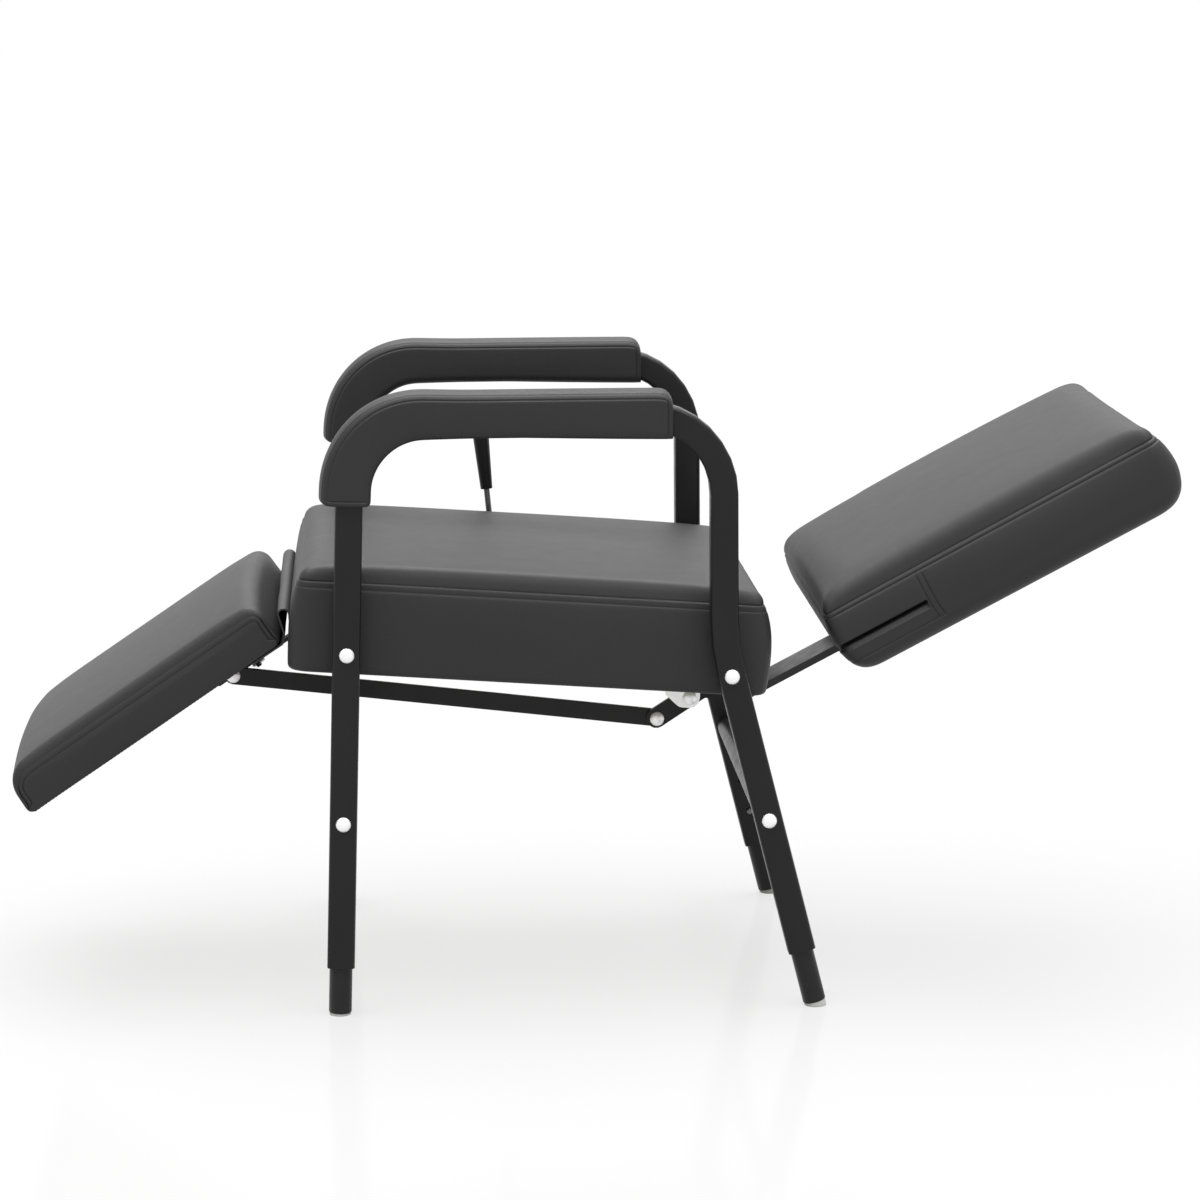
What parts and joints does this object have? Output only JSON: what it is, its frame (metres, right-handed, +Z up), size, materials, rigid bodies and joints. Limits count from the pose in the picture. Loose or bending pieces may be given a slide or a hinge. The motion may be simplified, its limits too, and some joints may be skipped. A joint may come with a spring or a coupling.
{
  "type": "reclining shampoo chair",
  "caption": "Reclining shampoo chair with bent-tube side frames, padded seat, linked backrest and legrest, padded arms, hand release lever and height-adjustable feet.",
  "frame": {"origin": "on the floor, at the middle of the overall box", "axes": "+X from the legrest to the backrest, +Y to the right of a person sitting in it, +Z up"},
  "size_m": [1.2812, 0.612, 0.6809],
  "materials": {
    "vinyl": "satin",
    "paint": "satin",
    "zinc": "satin",
    "steel": "satin",
    "grip": "matte",
    "nylon": "matte",
    "wood": "matte"
  },
  "bodies": {
    "base": {"left_side_frame": "paint", "leg_extension_left_front": "paint", "foot_glide_left_front": "nylon", "snap_spring_left_front": "steel", "leg_extension_left_rear": "paint", "foot_glide_left_rear": "nylon", "snap_spring_left_rear": "steel", "seat_bolt_left_front": "zinc", "seat_bolt_left_rear": "zinc", "cross_tube_bolt_left_front": "zinc", "cross_tube_bolt_left_rear": "zinc", "left_arm_pad": "vinyl", "right_side_frame": "paint", "leg_extension_right_front": "paint", "foot_glide_right_front": "nylon", "snap_spring_right_front": "steel", "leg_extension_right_rear": "paint", "foot_glide_right_rear": "nylon", "snap_spring_right_rear": "steel", "seat_bolt_right_front": "zinc", "seat_bolt_right_rear": "zinc", "cross_tube_bolt_right_front": "zinc", "cross_tube_bolt_right_rear": "zinc", "right_arm_pad": "vinyl", "front_cross_tube": "paint", "rear_cross_tube": "paint", "seat_cushion": "vinyl", "seat_tray": "wood", "mechanism_rail": "paint", "recline_bracket": "zinc", "back_pivot_bolt": "zinc", "back_pivot_nut": "zinc", "legrest_hinge_pin": "zinc", "lock_barrel": "steel", "lock_front_pin": "zinc", "lever_bracket": "paint"},
    "back": {"back_bar": "paint", "backrest_board": "wood", "backrest_cushion": "vinyl", "back_bar_screw_1": "zinc", "back_bar_screw_2": "zinc", "link_bolt_rear": "zinc", "lock_rear_pin": "zinc"},
    "legrest": {"legrest_arm": "paint", "legrest_board": "wood", "legrest_cushion": "vinyl", "gap_flap": "vinyl", "legrest_stop_screw": "zinc", "legrest_arm_screw_1": "zinc", "legrest_arm_screw_2": "zinc", "link_bolt_front": "zinc"},
    "link": {"link_bar": "paint"},
    "lever": {"lever_rod": "steel", "lever_grip": "grip"},
    "release": {"release_pin": "zinc"},
    "lock_slider": {"lock_rod": "steel"},
    "button_left_front": {"snap_button_left_front": "steel"},
    "button_left_rear": {"snap_button_left_rear": "steel"},
    "button_right_front": {"snap_button_right_front": "steel"},
    "button_right_rear": {"snap_button_right_rear": "steel"}
  },
  "joints": [
    {"name": "recline", "type": "hinge", "parent": "base", "child": "back", "pos_m": [0.11865, 0, 0.29944], "axis": [0, -1, 0], "range_deg": [0, 46]},
    {"name": "legrest_swing", "type": "hinge", "parent": "base", "child": "legrest", "pos_m": [-0.33002, 0, 0.369], "axis": [0, -1, 0], "range_deg": [0, 30.5]},
    {"name": "link_swing", "type": "hinge", "parent": "legrest", "child": "link", "pos_m": [-0.40042, -0.02, 0.3319], "axis": [0, -1, 0], "range_deg": [-29.3, 0]},
    {"name": "lever_pull", "type": "hinge", "parent": "base", "child": "lever", "pos_m": [-0.08605, 0, 0.32994], "axis": [0, 1, 0], "range_deg": [0, 15], "stiffness_Nm_per_rad": 1.5},
    {"name": "release_push", "type": "slide", "parent": "base", "child": "release", "axis": [0.999, 0, -0.0436], "range_m": [0, 0.003]},
    {"name": "lock_slide", "type": "slide", "parent": "base", "child": "lock_slider", "axis": [-0.999, 0, 0.0436], "range_m": [0, 0.0255]},
    {"name": "press_left_front", "type": "slide", "parent": "base", "child": "button_left_front", "axis": [0, -1, 0], "range_m": [0, 0.0045], "stiffness_N_per_m": 800, "deforming": ["snap_spring_left_front"]},
    {"name": "press_left_rear", "type": "slide", "parent": "base", "child": "button_left_rear", "axis": [0, -1, 0], "range_m": [0, 0.0045], "stiffness_N_per_m": 800, "deforming": ["snap_spring_left_rear"]},
    {"name": "press_right_front", "type": "slide", "parent": "base", "child": "button_right_front", "axis": [0, 1, 0], "range_m": [0, 0.0045], "stiffness_N_per_m": 800, "deforming": ["snap_spring_right_front"]},
    {"name": "press_right_rear", "type": "slide", "parent": "base", "child": "button_right_rear", "axis": [0, 1, 0], "range_m": [0, 0.0045], "stiffness_N_per_m": 800, "deforming": ["snap_spring_right_rear"]}
  ],
  "couplings": [
    {"joint": "legrest_swing", "follows": "recline", "ratio": 0.661},
    {"joint": "link_swing", "follows": "recline", "ratio": -0.6335},
    {"joint": "lock_slide", "follows": "recline", "m_per_rad": 0.0311},
    {"joint": "release_push", "follows": "lever_pull", "m_per_rad": 0.0111}
  ]
}
